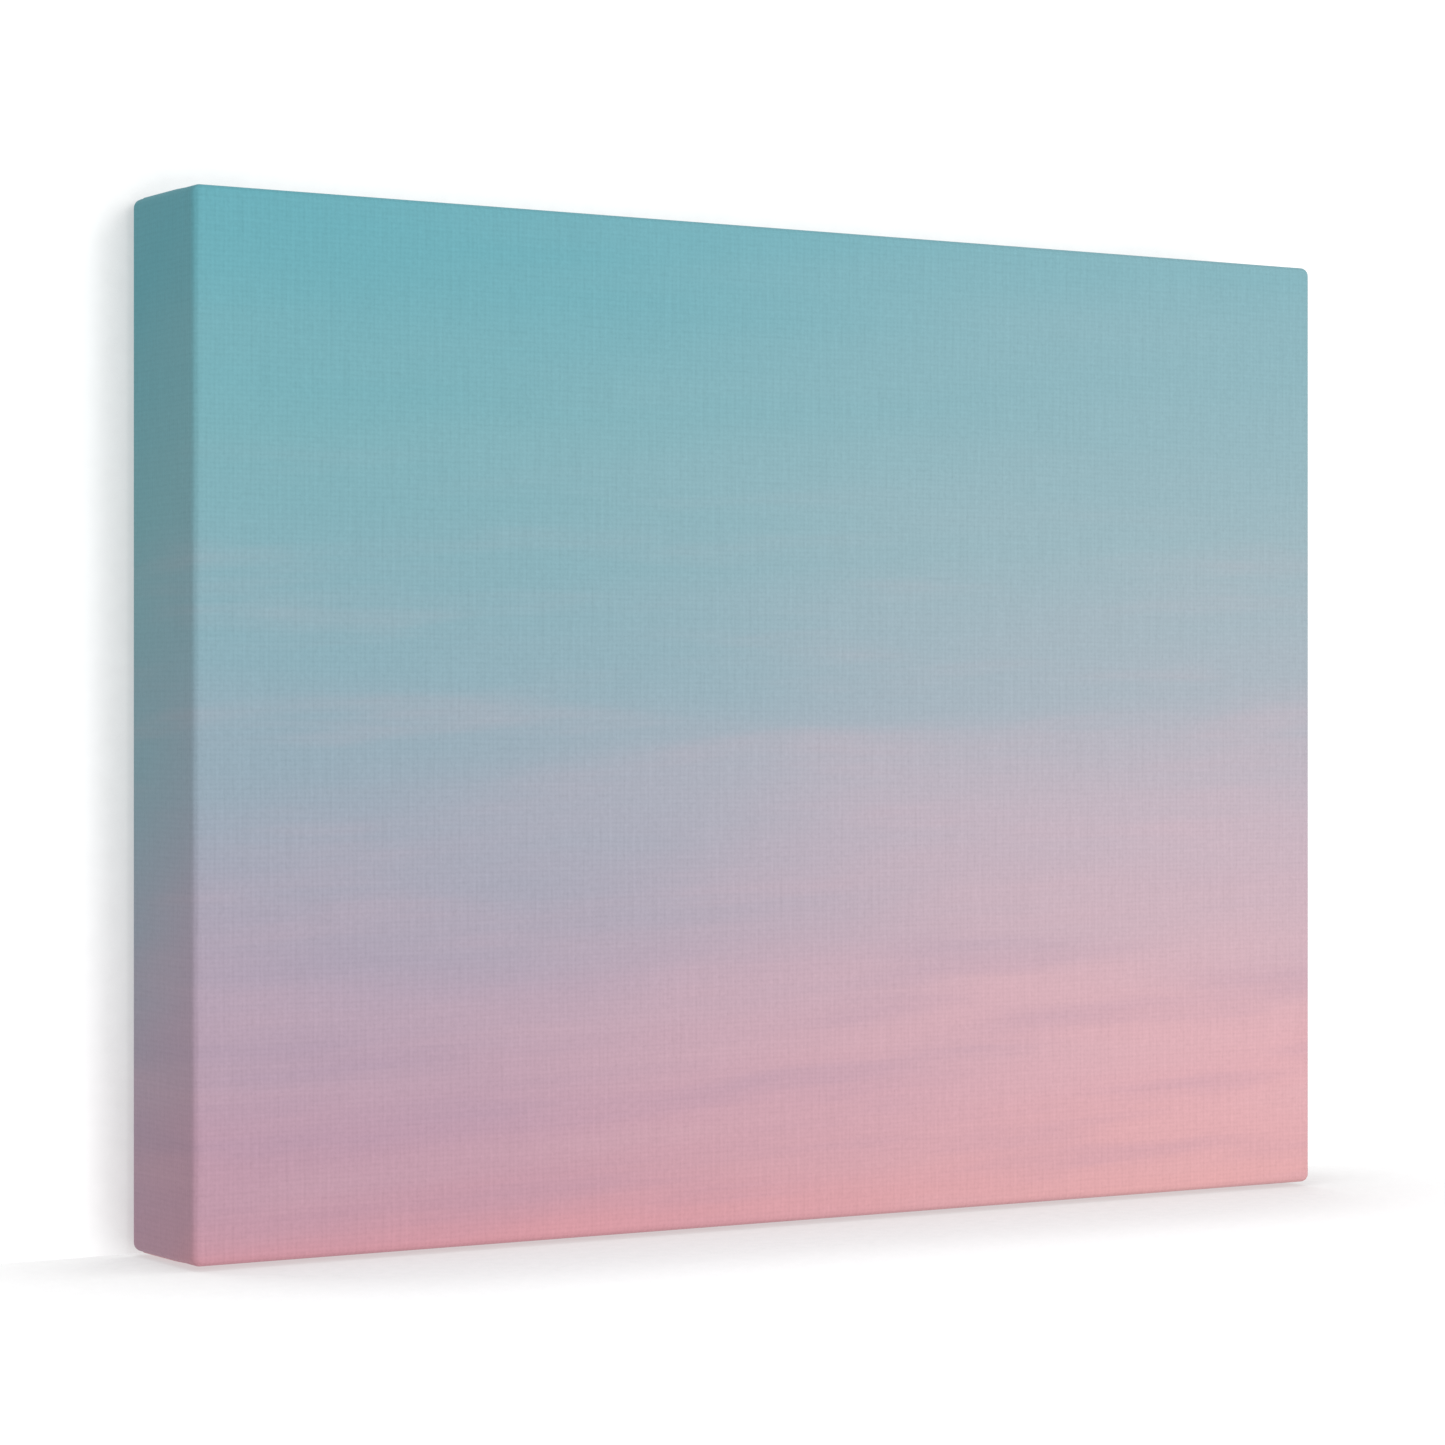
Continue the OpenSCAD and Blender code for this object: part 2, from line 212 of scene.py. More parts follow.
def ring_profile(thickness, depth_step, back_step, arc_steps):
    """The rings of one skin that lies that far inside the outer face.

    Each is (inset, depth, outward, backward, travel): how far it lies in from the side and back
    from the front, its normal, and how far it has come over the cloth.
    """
    radius = EDGE_R - thickness
    arc = radius * math.pi / 2
    straight = DEPTH - 2 * EDGE_R
    front = spaced(CORNER_R, EDGE_R, FRONT_STEP)[:-1]
    rings = [(inset, thickness, 0.0, -1.0, EDGE_R - inset) for inset in front]
    for turn in np.linspace(0, math.pi / 2, arc_steps + 1):
        out, back = math.sin(turn), -math.cos(turn)
        rings.append((EDGE_R - radius * out, EDGE_R + radius * back, out, back, radius * turn))
    for along in spaced(0, straight, depth_step)[1:]:
        rings.append((thickness, EDGE_R + along, 1.0, 0.0, arc + along))
    for turn in np.linspace(0, math.pi / 2, arc_steps + 1)[1:]:
        out, back = math.cos(turn), math.sin(turn)
        travel = arc + straight + radius * turn
        rings.append((
            EDGE_R - radius * out, DEPTH - EDGE_R + radius * back, out, back, travel
        ))
    for along in spaced(0, MARGIN_W - EDGE_R, back_step)[1:]:
        travel = 2 * arc + straight + along
        rings.append((EDGE_R + along, DEPTH - thickness, 0.0, 1.0, travel))
    return rings


def by_side(side, along, across):
    """X and Z, from the middle of the frame, of places along and across each side."""
    x = np.choose(side, [along, across, -along, -across])
    z = np.choose(side, [across, -along, -across, along])
    return x, z


def half_sizes(side):
    """Half the length of each column's side, and how far that side is from the middle."""
    is_level = side % 2 == 0
    return np.where(is_level, HALF_W, HALF_H), np.where(is_level, HALF_H, HALF_W)


def ring_points(columns, inset, depth, outward, backward, push):
    """The points of one ring, pushed out along its normal."""
    side, place, turn = columns
    half_along, half_across = half_sizes(side)
    corner_r = max(CORNER_R - inset, 0.0)
    reach = max(inset, CORNER_R)
    along = place * (half_along - reach) + (corner_r + push * outward) * np.sin(turn)
    across = half_across - reach + (corner_r + push * outward) * np.cos(turn)
    x, z = by_side(side, along, across)
    y = CLOTH_FRONT + depth + push * backward + np.zeros_like(x)
    return np.stack([x, y, MID_Z + z], axis=1)


def ring_flat_places(columns, inset, travel):
    """Where each point of a ring lay on the flat sheet. A corner's arc belongs to its upright side."""
    side, place, turn = columns
    corner_r = max(CORNER_R - inset, 0.0)
    after_level_side = (side % 2 == 0) & (turn > 0)
    arc = np.where(after_level_side, -corner_r * (math.pi / 2 - turn), corner_r * turn)
    side = np.where(after_level_side, (side + 1) % 4, side)
    place = np.where(after_level_side, -1.0, place)
    half_along, half_across = half_sizes(side)
    along = place * (half_along - max(inset, CORNER_R)) + arc
    across = half_across - EDGE_R + travel
    x, z = by_side(side, along, across)
    return np.stack([x, z, np.full_like(x, travel)], axis=1)


def fold_heights(columns, inset, depth, travel):
    """How far the tucked corner layers lift the outer one, on the top and bottom sides."""
    side, place, turn = columns
    reach = max(inset, CORNER_R)
    from_edge = (1.0 - np.abs(place)) * (HALF_W - reach)
    on_back = smooth((inset - EDGE_R) / (2 * EDGE_R))
    edge_gap = from_edge * (1.0 - on_back * (1.0 - math.sqrt(0.5)))
    rounding = np.sqrt(1.0 - (1.0 - np.clip(edge_gap / FOLD_EDGE_W, 0, 1)) ** 2)
    share, ramp = ((1.0 - on_back) * side_value + on_back * back_value
                   for side_value, back_value in (FOLD_EDGE_SHARES, FOLD_RAMPS))
    swell = share * rounding + (1.0 - share) * smooth(edge_gap / FOLD_SWELL)
    inside = (travel - from_edge - reach) * math.sqrt(0.5)
    hang = smooth(1.0 + inside / ramp)
    start = smooth((depth - EDGE_R) / FOLD_START)
    folded = (side % 2 == 0) & (turn == 0)
    return np.where(folded, FOLD_RISE * swell * hang * start, 0.0)


def shape_margin(ring, inset, staples):
    """Bends a ring of the back margin: it strays a little and lifts between the staples."""
    on_back = (inset - EDGE_R) / (MARGIN_W - EDGE_R)
    if on_back <= 0:
        return ring
    turn = np.arctan2(ring[:, 2] - MID_Z, ring[:, 0])
    stray = sum(share * np.sin(waves * turn + phase) for share, waves, phase in CUT_WAVES)
    shrink = stray * on_back ** 2 * CUT_WANDER / HALF_H
    ring[:, 0] *= 1 - shrink
    ring[:, 2] -= (ring[:, 2] - MID_Z) * shrink
    gap = np.hypot(
        ring[:, None, 0] - staples[None, :, 0],
        ring[:, None, 2] - staples[None, :, 2],
    ).min(axis=1)
    (lift_from, lift_over), (puff_from, puff_over) = LIFT_CLEAR, PUFF_CLEAR
    free = smooth((gap - lift_from) / lift_over) * smooth((on_back - LIFT_START) / (1 - LIFT_START))
    puff = smooth((gap - puff_from) / puff_over) * smooth(on_back / PUFF_WHOLE)
    ring[:, 1] += MARGIN_LIFT * free + STAPLE_PUFF * puff
    return ring


def ring_faces(ring_count, column_count):
    """Quads that join each ring to the next."""
    faces = []
    for ring in range(ring_count - 1):
        here, there = ring * column_count, (ring + 1) * column_count
        for column in range(column_count):
            after = (column + 1) % column_count
            faces.append((here + column, here + after, there + after, there + column))
    return faces


def front_faces(places, starts, first_free):
    """The flat front: its own points, as (X, Z) from the middle, and the quads that fill the ring."""
    across, up = places
    last_column, last_row = len(across) - 1, len(up) - 1
    points, index = [], {}
    for row, v in enumerate(up):
        for column, u in enumerate(across):
            if row == last_row:
                found = starts[0] + column
            elif row == 0:
                found = starts[2] + last_column - column
            elif column == last_column:
                found = starts[1] + last_row - row
            elif column == 0:
                found = starts[3] + row
            else:
                found = first_free + len(points)
                points.append((u * (HALF_W - CORNER_R), v * (HALF_H - CORNER_R)))
            index[row, column] = found
    faces = [
        (index[r, c], index[r, c + 1], index[r + 1, c + 1], index[r + 1, c])
        for r in range(last_row)
        for c in range(last_column)
    ]
    return np.array(points), faces


def cloth_skin(places, thickness, steps, staples):
    """One skin: its points, their places on the flat sheet, its faces, and its last ring's start.

    The third number of a flat place is how far it lies past the front edge.
    """
    columns = ring_columns(places)
    rings, flats = [], []
    for inset, depth, outward, backward, travel in ring_profile(thickness, *steps):
        push = 0.0
        if thickness == 0:
            push = fold_heights(columns, inset, depth, travel)
        ring = ring_points(columns, inset, depth, outward, backward, push)
        rings.append(shape_margin(ring, inset, staples))
        flats.append(ring_flat_places(columns, inset, travel))
    count, ring_count = len(columns[0]), len(rings)
    starts = [int(np.flatnonzero(columns[0] == side)[0]) for side in range(4)]
    middle, middle_faces = front_faces(places, starts, ring_count * count)
    level = np.full(len(middle), CLOTH_FRONT + thickness)
    rings.append(np.stack([middle[:, 0], level, MID_Z + middle[:, 1]], axis=1))
    flats.append(np.stack([middle[:, 0], middle[:, 1], np.full(len(middle), -CORNER_R)], axis=1))
    faces = ring_faces(ring_count, count) + middle_faces
    return np.concatenate(rings), np.concatenate(flats), faces, (ring_count - 1) * count


def tidy_skin(made):
    """Welds the points that coincide, as at the corners of the back, and turns the faces outwards."""
    shape = bmesh.new()
    shape.from_mesh(made.data)
    bmesh.ops.remove_doubles(shape, verts=shape.verts, dist=SKIN_WELD)
    bmesh.ops.recalc_face_normals(shape, faces=shape.faces)
    shape.to_mesh(made.data)
    shape.free()
    made.data.shade_smooth()


def make_cloth():
    """The whole sheet, as a closed skin, and the middle of its cut edge as a ring of points."""
    places = (
        side_places(HALF_W - CORNER_R, FOLD_ZONES, LEVEL_MIDDLE_STEP),
        side_places(HALF_H - CORNER_R, PLAIN_ZONES, UPRIGHT_MIDDLE_STEP),
    )
    staples = np.concatenate([loose_part_centres(node) for node in STAPLES])
    outer, outer_flat, faces, outer_cut = cloth_skin(places, 0.0, OUTER_STEPS, staples)
    inner, inner_flat, inner_faces, inner_cut = cloth_skin(places, CLOTH_T, INNER_STEPS, staples)
    count = len(ring_columns(places)[0])
    faces += [tuple(len(outer) + i for i in reversed(face)) for face in inner_faces]
    edge_out, edge_in = outer_cut, len(outer) + inner_cut
    for column in range(count):
        after = (column + 1) % count
        faces.append((edge_out + column, edge_out + after, edge_in + after, edge_in + column))
    made = add_mesh("canvas_cloth", np.concatenate([outer, inner]), faces)
    store_attribute(made, "flat_place", np.concatenate([outer_flat, inner_flat]))
    store_attribute(made, "raw_side", np.repeat([0.0, 1.0], [len(outer), len(inner)]))
    tidy_skin(made)
    cut = (outer[outer_cut:outer_cut + count] + inner[inner_cut:inner_cut + count]) / 2
    return made, cut


# ---- Loose threads along the cut edge ----

THREAD_R = 0.16 * MM
STUB_LENGTHS = (0.4 * MM, 1.3 * MM)
LOOSE_LENGTHS = (3 * MM, 10 * MM)
LOOSE_EVERY = 36  # one thread in this many has come loose
STUB_STEPS, LOOSE_STEPS = 2, 9
STUB_BEND, LOOSE_BEND = 0.3, 2.2  # usual turn from root to tip, in radians
LEAN = 0.25  # usual turn at the root
ROOT_DEPTH = 0.3 * MM  # how far a thread starts inside the cloth
TIP_SHARE = 0.35  # the tip's radius, as a share of the thread's
THREAD_SEED = 11


def ring_walk(ring, pitch):
    """Points about one pitch apart along a closed ring, with the direction along it at each."""
    after = np.roll(ring, -1, axis=0)
    lengths = np.linalg.norm(after - ring, axis=1)
    ends = np.cumsum(lengths)
    walk = []
    for distance in np.arange(0, ends[-1], pitch):
        number = int(np.searchsorted(ends, distance, side="right"))
        part = 1 - (ends[number] - distance) / lengths[number]
        step = after[number] - ring[number]
        walk.append((ring[number] + part * step, step / lengths[number]))
    return walk


def thread_tube(spine, radius):
    """A thin four-sided tube along a spine, with a narrow tip."""
    spine = np.array(spine)
    along = np.gradient(spine, axis=0)
    along /= np.linalg.norm(along, axis=1)[:, None]
    side = np.cross(along, [0.3, 0.9, 0.2])
    side /= np.linalg.norm(side, axis=1)[:, None]
    up = np.cross(along, side)
    points, faces = [], [(3, 2, 1, 0)]
    for number, centre in enumerate(spine):
        r = radius * (TIP_SHARE if number == len(spine) - 1 else 1.0)
        points += [centre + r * d for d in (side[number], up[number], -side[number], -up[number])]
    for first in range(0, 4 * (len(spine) - 1), 4):
        for corner in range(4):
            after = (corner + 1) % 4
            faces.append((first + corner, first + after, first + 4 + after, first + 4 + corner))
    last = 4 * (len(spine) - 1)
    faces.append((last, last + 1, last + 2, last + 3))
    return points, faces


def make_threads(cut):
    """The thread ends along the cut edge: short stubs, and now and then a loose thread."""
    rng = np.random.default_rng(THREAD_SEED)
    points, faces = [], []
    for number, (root, along) in enumerate(ring_walk(cut, THREAD_PITCH)):
        inward = np.cross(along, [0.0, 1.0, 0.0])
        if np.dot(inward, [-root[0], 0.0, MID_Z - root[2]]) < 0:
            inward = -inward
        is_loose = number % LOOSE_EVERY == LOOSE_EVERY // 2
        length = rng.uniform(*(LOOSE_LENGTHS if is_loose else STUB_LENGTHS))
        lean = rng.normal(0, LEAN)
        bend = rng.normal(0, LOOSE_BEND if is_loose else STUB_BEND)
        steps = LOOSE_STEPS if is_loose else STUB_STEPS
        spine = [root - inward * ROOT_DEPTH]
        for step in range(steps):
            angle = lean + bend * step / steps
            heading = inward * math.cos(angle) + along * math.sin(angle)
            spine.append(spine[-1] + heading * length / steps)
        tube, tube_faces = thread_tube(spine, THREAD_R)
        faces += [tuple(len(points) + i for i in face) for face in tube_faces]
        points += tube
    return add_mesh("margin_threads", points, faces)


# ---- Materials ----


def colour(code):
    """A shader colour from a six-figure web colour."""
    levels = [int(code[i:i + 2], 16) / 255 for i in (1, 3, 5)]
    linear = [v / 12.92 if v <= 0.04045 else ((v + 0.055) / 1.055) ** 2.4 for v in levels]
    return (*linear, 1.0)


class Look:
    """A material under construction. Its methods add nodes and give back their outputs."""

    def __init__(self, name):
        self.material = bpy.data.materials.new(name)
        self.material.use_nodes = True
        self.nodes = self.material.node_tree.nodes
        self.links = self.material.node_tree.links
        self.shader = self.nodes["Principled BSDF"]

    def put(self, socket, value):
        """Links an output to a socket, or sets the socket to a plain value."""
        if isinstance(value, bpy.types.NodeSocket):
            self.links.new(value, socket)
        else:
            socket.default_value = value

    def add(self, kind, *values, **settings):
        """A node with those settings, its first inputs filled in order."""
        node = self.nodes.new(kind)
        for name, value in settings.items():
            setattr(node, name, value)
        for socket, value in zip(node.inputs, values):
            self.put(socket, value)
        return node

    def math(self, operation, *values):
        return self.add("ShaderNodeMath", *values, operation=operation).outputs[0]

    def sum(self, first, *others):
        for value in others:
            first = self.math("ADD", first, value)
        return first

    def times(self, first, *others):
        for value in others:
            first = self.math("MULTIPLY", first, value)
        return first

    def fade(self, value, start, end):
        """0 where value is start, 1 where it is end, and smooth in between."""
        node = self.add("ShaderNodeMapRange", value, start, end, interpolation_type="SMOOTHSTEP")
        return node.outputs[0]

    def attribute(self, name, output="Fac"):
        return self.add("ShaderNodeAttribute", attribute_name=name).outputs[output]

    def object_place(self):
        return self.add("ShaderNodeTexCoord").outputs["Object"]

    def parts(self, vector):
        return self.add("ShaderNodeSeparateXYZ", vector).outputs

    def vector(self, *values):
        return self.add("ShaderNodeCombineXYZ", *values).outputs[0]

    def mapped(self, vector, scale, turn=(0.0, 0.0, 0.0), shift=(0.0, 0.0, 0.0)):
        """A place scaled, then turned, then shifted."""
        node = self.add("ShaderNodeMapping", vector, shift, turn, scale, vector_type="POINT")
        return node.outputs[0]

    def noise(self, vector, scale, detail=3.0, roughness=0.5):
        """Cloudy noise from 0 to 1, whose largest blobs are about 1/scale across."""
        node = self.add("ShaderNodeTexNoise")
        for name, value in (("Vector", vector), ("Scale", scale)):
            self.put(node.inputs[name], value)
        self.put(node.inputs["Detail"], detail)
        self.put(node.inputs["Roughness"], roughness)
        return node.outputs[0]

    def ramp(self, value, stops):
        """Colours by value: stops are (place, web colour)."""
        node = self.add("ShaderNodeValToRGB", value)
        elements = node.color_ramp.elements
        while len(elements) < len(stops):
            elements.new(1.0)
        for element, (place, code) in zip(elements, stops):
            element.position = place
            element.color = colour(code)
        return node.outputs[0]

    def mix(self, amount, first, second, mode="MIX"):
        node = self.add("ShaderNodeMix", data_type="RGBA", blend_type=mode)
        for number, value in ((0, amount), (6, first), (7, second)):
            self.put(node.inputs[number], value)
        return node.outputs[2]

    def bump(self, height, depth, under=None):
        """A surface normal for a height of 0 to 1 that stands for that depth in metres."""
        node = self.add("ShaderNodeBump")
        self.put(node.inputs["Strength"], 1.0)
        self.put(node.inputs["Distance"], depth)
        self.put(node.inputs["Height"], height)
        if under is not None:
            self.put(node.inputs["Normal"], under)
        return node.outputs[0]

    def finish(self, **inputs):
        """Fills the shader's inputs and gives the material."""
        for name, value in inputs.items():
            self.put(self.shader.inputs[name.replace("_", " ")], value)
        return self.material


# The sky print, from the top of the front (0) to its bottom (1)
SKY_LEFT = (
    (0.00, "#66AAB5"), (0.22, "#7AADB5"), (0.45, "#8AABB6"), (0.60, "#9CA6B4"),
    (0.74, "#B2A0B1"), (0.86, "#BD9AAB"), (1.00, "#BE91A1"),
)
SKY_RIGHT = (
    (0.00, "#84B1BA"), (0.32, "#9BB4BC"), (0.50, "#B1B3BD"), (0.62, "#C6B2BD"),
    (0.75, "#D3B0B9"), (0.86, "#DFADB3"), (1.00, "#E3A9AA"),
)
SIDE_DRIFT = 3.0  # how far the left side drifts to the colours above, in canvas heights a metre
CLOUD_PINK = "#D3B2BB"
CLOUD_MAUVE = "#A088A2"
LOW_GLOW = "#E0999F"
CLOUD_TILT = math.radians(-2)

PRINT_ON_BACK = 14 * MM
PRINT_END_BLUR = 0.6 * MM
PRIMED_WHITE = "#ECEAE4"
COTTON_DARK, COTTON_PALE = "#E0D8C7", "#EDE7DA"
HUSK_BROWN = "#8E7550"
# Painted shade for the gaps between threads, multiplied into the cloth's colour
WEAVE_GAP_PAINTED_SHADE = "#58585A"
THREAD_STRAY = 0.8 * MM
OVER_RISE = 0.35  # how much higher a thread lies where it passes over, as a share of its own height
# Upright gaps, then level ones: (depth, breaks to the thread pitch along X and Z)
UPRIGHT_GAPS = (1.0, (0.5, 0.45, 1.0))
LEVEL_GAPS = (0.55, (0.6, 0.5, 1.0))
THREAD_CHANGES = 60.0  # how often a thread's shade changes along it, to the metre
UPRIGHT_SHARE, LEVEL_SHARE, UNEVEN_SHARE = 0.22, 0.12, 0.66  # what the threads' shades are made of
SHADES_ON_PRINT = 0.28
# How fine the clouds are: blobs to the metre along X and Z
HAZE_FINENESS = (4.0, 30.0, 1.0)
STREAK_FINENESS = (10.0, 90.0, 1.0)


def wandered(look, place):
    """X and Z of a place on the flat cloth, strayed a little, because no thread runs quite straight."""
    stray = look.times(look.sum(look.noise(place, 90.0, 2.0), -0.5), THREAD_STRAY)
    x, z = look.parts(place)[:2]
    return look.sum(x, stray), look.sum(z, stray)


def weave_height(look, place):
    """Plain weave, 0 to 1: threads that pass over and under one another by turns."""
    x, z = wandered(look, place)
    across = look.math("SINE", look.times(x, math.pi / THREAD_PITCH))
    up = look.math("SINE", look.times(z, math.pi / THREAD_PITCH))
    over = look.math("SIGN", look.times(across, up))
    across, up = look.math("ABSOLUTE", across), look.math("ABSOLUTE", up)
    upright_thread = look.sum(across, look.times(over, up, OVER_RISE))
    level_thread = look.sum(up, look.times(over, across, -OVER_RISE))
    return look.times(look.math("MAXIMUM", upright_thread, level_thread), 1 / (1 + OVER_RISE))


def deep_gaps(look, place):
    """0 to 1: every second gap between threads is deeper, with breaks where threads cross it."""
    x, z = wandered(look, place)
    gaps = []
    for here, (depth, size) in ((x, UPRIGHT_GAPS), (z, LEVEL_GAPS)):
        pair = look.math("ABSOLUTE", look.math("COSINE", look.times(here, 0.5 * math.pi / THREAD_PITCH)))
        breaks = look.noise(look.mapped(place, [s / THREAD_PITCH for s in size]), 1.0, 1.0)
        gaps.append(look.times(look.fade(pair, 0.40, 0.0), look.fade(breaks, 0.40, 0.62), depth))
    return look.math("MAXIMUM", *gaps)


def thread_shades(look, place):
    """About 0 to 1: threads that differ from their neighbours and are uneven along their length."""
    upright = look.noise(look.mapped(place, (1 / THREAD_PITCH, THREAD_CHANGES, 1.0)), 1.0, 0.0)
    level = look.noise(look.mapped(place, (THREAD_CHANGES, 1 / THREAD_PITCH, 1.0)), 1.0, 0.0)
    uneven = look.noise(place, 0.9 / THREAD_PITCH, 2.0, 0.7)
    return look.sum(
        look.times(upright, UPRIGHT_SHARE),
        look.times(level, LEVEL_SHARE),
        look.times(uneven, UNEVEN_SHARE),
    )


def sky_colour(look, place):
    """A hazy evening sky: blue-green above, rose below, with soft level streaks of cloud."""
    level = look.mapped(place, (1.0, 1.0, 1.0), (0.0, 0.0, CLOUD_TILT))
    haze = look.sum(look.noise(look.mapped(level, HAZE_FINENESS), 1.0, 3.0, 0.45), -0.5)
    streaks = look.noise(look.mapped(level, STREAK_FINENESS), 1.0, 3.0, 0.5)
    x, z = look.parts(place)[:2]
    past_left = look.math("MINIMUM", look.sum(x, HALF_W), 0.0)
    down = look.sum(
        look.times(z, -0.5 / HALF_H), 0.5, look.times(past_left, SIDE_DRIFT),
        look.times(haze, 0.14), look.times(look.sum(streaks, -0.5), 0.05),
    )
    along = look.sum(look.times(x, 0.5 / HALF_W), 0.5, look.times(haze, 0.4))
    sky = look.mix(look.fade(along, 0.0, 1.0), look.ramp(down, SKY_LEFT), look.ramp(down, SKY_RIGHT))
    pink = look.times(look.fade(streaks, 0.46, 0.78), look.fade(down, 0.15, 0.5), 0.18)
    sky = look.mix(pink, sky, colour(CLOUD_PINK))
    mauve = look.times(look.fade(streaks, 0.54, 0.26), look.fade(down, 0.60, 0.78), 0.20)
    sky = look.mix(mauve, sky, colour(CLOUD_MAUVE))
    glow = look.times(look.fade(down, 0.93, 1.04), look.fade(along, 0.9, 0.2), 0.70)
    return look.mix(glow, sky, colour(LOW_GLOW))


def canvas_look():
    """Printed on the front and sides, primed white at the back margin, raw cotton inside, with painted
    shade in the gaps between threads.
    """
    look = Look("canvas_print")
    unfolded = look.attribute("flat_place", "Vector")
    x, z, past_edge = look.parts(unfolded)[:3]
    place = look.vector(x, z, 0.0)
    raw = look.attribute("raw_side")
    gaps = deep_gaps(look, place)
    weave = look.sum(look.times(weave_height(look, place), 0.8), look.times(gaps, -0.35), 0.2)
    shades = thread_shades(look, place)

    print_end = DEPTH + PRINT_ON_BACK
    ragged = look.times(look.sum(look.noise(place, 900.0, 2.0), weave), 0.4 * MM)
    unprinted = look.fade(look.sum(past_edge, ragged), print_end, print_end + PRINT_END_BLUR)
    face = look.mix(unprinted, sky_colour(look, place), colour(PRIMED_WHITE))

    husks = look.fade(look.noise(place, 420.0, 3.0, 0.7), 0.70, 0.76)
    cotton = look.ramp(shades, ((0.20, COTTON_DARK), (0.80, COTTON_PALE)))
    cotton = look.mix(look.times(husks, 0.6), cotton, colour(HUSK_BROWN))
    base = look.mix(raw, face, cotton)
    # Painted shade: the colour is darkened in the gaps between threads, more on the raw side
    gap_painted_shade = look.times(look.math("SUBTRACT", 1.0, weave), look.sum(look.times(raw, 0.15), 0.08))
    base = look.mix(gap_painted_shade, base, colour(WEAVE_GAP_PAINTED_SHADE), "MULTIPLY")
    tint = look.sum(look.times(look.sum(shades, -0.5), SHADES_ON_PRINT), 1.0)
    base = look.mix(1.0, base, look.vector(tint, tint, tint), "MULTIPLY")

    surface = look.bump(weave, 0.04 * MM)
    surface = look.bump(shades, 0.05 * MM, surface)
    surface = look.bump(look.noise(place, 60.0), 0.10 * MM, surface)
    rough = look.sum(look.times(weave, -0.08), look.times(raw, 0.25), 0.62)
    return look.finish(
        Base_Color=base, Roughness=rough, Normal=surface, Specular_IOR_Level=0.15
    )


def thread_look():
    """Loose cotton threads, lightly fuzzy."""
    look = Look("cotton_thread")
    place = look.object_place()
    fuzz = look.noise(place, 2500.0, 2.0)
    base = look.ramp(fuzz, ((0.3, "#C9BC9F"), (0.7, "#EAE3D2")))
    return look.finish(
        Base_Color=base,
        Roughness=look.sum(look.times(fuzz, 0.2), 0.75),
        Normal=look.bump(fuzz, 0.04 * MM),
    )


def wood_look(name, grain_axis, pale, dark, ring_width, ring_depth, seed):
    """Sawn wood whose grain runs along one axis, with its growth rings about a far-off heart."""
    look = Look(name)
    x, y, z = look.parts(look.object_place())[:3]
    along, across = (x, z) if grain_axis == "X" else (z, x)
    drift = look.noise(look.vector(look.times(along, 4.0), look.times(across, 9.0), seed), 1.0, 2.0)
    sideways = look.sum(across, look.times(look.sum(drift, -0.5), 16 * MM), seed * 31 * MM)
    downward = look.sum(y, look.times(look.sum(drift, -0.5), 8 * MM), 14 * MM + seed * 9 * MM)
    radius = look.math("SQRT", look.sum(
        look.times(sideways, sideways), look.times(downward, downward)
    ))
    wobble = look.noise(look.vector(look.times(along, 22.0), look.times(across, 160.0), y), 1.0, 3.0)
    count = look.sum(look.times(radius, 1 / ring_width), look.times(wobble, 0.7))
    phase = look.math("FRACT", count)
    late = look.times(look.fade(phase, 0.45, 0.90), look.fade(phase, 1.0, 0.96))
    each_ring = look.noise(look.vector(count, 0.0, seed), 0.9, 0.0)
    late = look.times(late, look.fade(each_ring, 0.25, 0.75), ring_depth)

    fibre_scales = [3000.0, 3000.0, 3000.0]
    fibre_scales["XYZ".index(grain_axis)] = 60.0
    fibres = look.noise(look.mapped(look.object_place(), fibre_scales), 1.0, 3.0, 0.65)
    flecks = look.fade(fibres, 0.60, 0.72)
    patches = look.noise(look.vector(look.times(along, 9.0), look.times(across, 40.0), y), 1.0, 2.0)
    wood = look.ramp(look.sum(late, look.times(fibres, 0.30)), ((0.10, pale), (1.05, dark)))
    wood = look.mix(look.times(look.fade(patches, 0.35, 0.8), 0.18), wood, colour(dark))
    wood = look.mix(look.times(flecks, 0.22), wood, colour(dark), "MULTIPLY")

    saw_lines = look.noise(look.vector(look.times(along, 800.0), look.times(across, 30.0), y), 1.0, 2.0)
    surface = look.bump(fibres, 0.12 * MM)
    surface = look.bump(late, 0.06 * MM, surface)
    surface = look.bump(saw_lines, 0.04 * MM, surface)
    rough = look.sum(look.times(fibres, 0.2), look.times(late, -0.12), 0.6)
    return look.finish(Base_Color=wood, Roughness=rough, Normal=surface)


def metal_look(name, clean, dull, stroke_axis, roughness):
    """Drawn or rolled metal: fine strokes along one axis, faint dull patches and small pits."""
    look = Look(name)
    place = look.object_place()
    scale = [5000.0, 5000.0, 5000.0]
    scale["XYZ".index(stroke_axis)] = 120.0
    strokes = look.noise(look.mapped(place, scale), 1.0, 3.0, 0.6)
    patches = look.fade(look.noise(place, 160.0, 4.0, 0.6), 0.40, 0.80)
    worn = look.sum(look.times(patches, 0.35), look.times(strokes, 0.25))
    base = look.mix(worn, colour(clean), colour(dull))
    rough = look.sum(look.times(patches, 0.12), look.times(strokes, 0.14), roughness)
    surface = look.bump(strokes, 0.02 * MM)
    surface = look.bump(look.noise(place, 900.0, 2.0), 0.015 * MM, surface)
    return look.finish(Base_Color=base, Metallic=1.0, Roughness=rough, Normal=surface)


